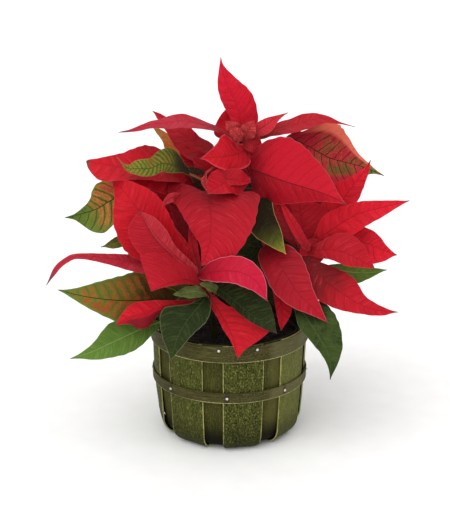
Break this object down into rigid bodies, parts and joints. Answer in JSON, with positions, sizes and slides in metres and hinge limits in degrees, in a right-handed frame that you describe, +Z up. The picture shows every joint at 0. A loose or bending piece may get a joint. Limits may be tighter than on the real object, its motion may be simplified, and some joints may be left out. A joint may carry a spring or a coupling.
{
  "type": "potted poinsettia",
  "caption": "Poinsettia with red bracts and green leaves on several rooted stems, growing in a plastic pot inside a round stained chip-wood basket with a rim band and a nailed hoop.",
  "frame": {"origin": "centre of the underside of the basket's base board, on the surface that it stands on", "axes": "+Z up, -Y the front that the picture shows, +X to its right"},
  "size_m": [0.3546, 0.2512, 0.3941],
  "materials": {
    "red_bract": "satin red leaf tissue with fine veins",
    "green_leaf": "satin green leaf tissue with fine veins",
    "cyathium": "satin yellow-green flower cups",
    "peat": "rough dark peat",
    "pot_plastic": "thin satin dark green plastic",
    "chip_wood": "rough-cut chip wood, green-brown stain",
    "chip_wood_dark": "rough-cut chip wood, darker stain",
    "band_wood": "bent wood strip, brown-green stain",
    "nail_steel": "bright wire nail"
  },
  "bodies": {
    "root": {"bloom_top": "red_bract", "bloom_left": "red_bract", "bloom_right": "red_bract", "bloom_back_left": "red_bract", "bloom_back_right": "red_bract", "leafy_stem_top": "green_leaf", "leafy_stem_left": "green_leaf", "leafy_stem_right": "green_leaf", "leafy_stem_back_left": "green_leaf", "leafy_stem_back_right": "green_leaf", "cyathia_top": "cyathium", "cyathia_back_left": "cyathium", "cyathia_back_right": "cyathium", "soil": "peat", "growing_pot": "pot_plastic", "stave_1": "chip_wood", "stave_2": "chip_wood", "stave_3": "chip_wood", "stave_4": "chip_wood", "stave_5": "chip_wood", "stave_6": "chip_wood", "stave_7": "chip_wood", "stave_8": "chip_wood", "inner_stave_1": "chip_wood_dark", "inner_stave_2": "chip_wood_dark", "inner_stave_3": "chip_wood_dark", "inner_stave_4": "chip_wood_dark", "inner_stave_5": "chip_wood_dark", "inner_stave_6": "chip_wood_dark", "inner_stave_7": "chip_wood_dark", "inner_stave_8": "chip_wood_dark", "base_board": "chip_wood_dark", "rim_band": "band_wood", "rim_lining": "band_wood", "hoop": "band_wood", "hoop_nail_1": "nail_steel", "hoop_nail_2": "nail_steel", "hoop_nail_3": "nail_steel", "hoop_nail_4": "nail_steel", "hoop_nail_5": "nail_steel", "hoop_nail_6": "nail_steel", "hoop_nail_7": "nail_steel", "hoop_nail_8": "nail_steel", "rim_nail_1": "nail_steel", "rim_nail_2": "nail_steel", "rim_nail_3": "nail_steel", "rim_nail_4": "nail_steel", "rim_nail_5": "nail_steel", "rim_nail_6": "nail_steel", "rim_nail_7": "nail_steel", "rim_nail_8": "nail_steel"}
  },
  "joints": []
}
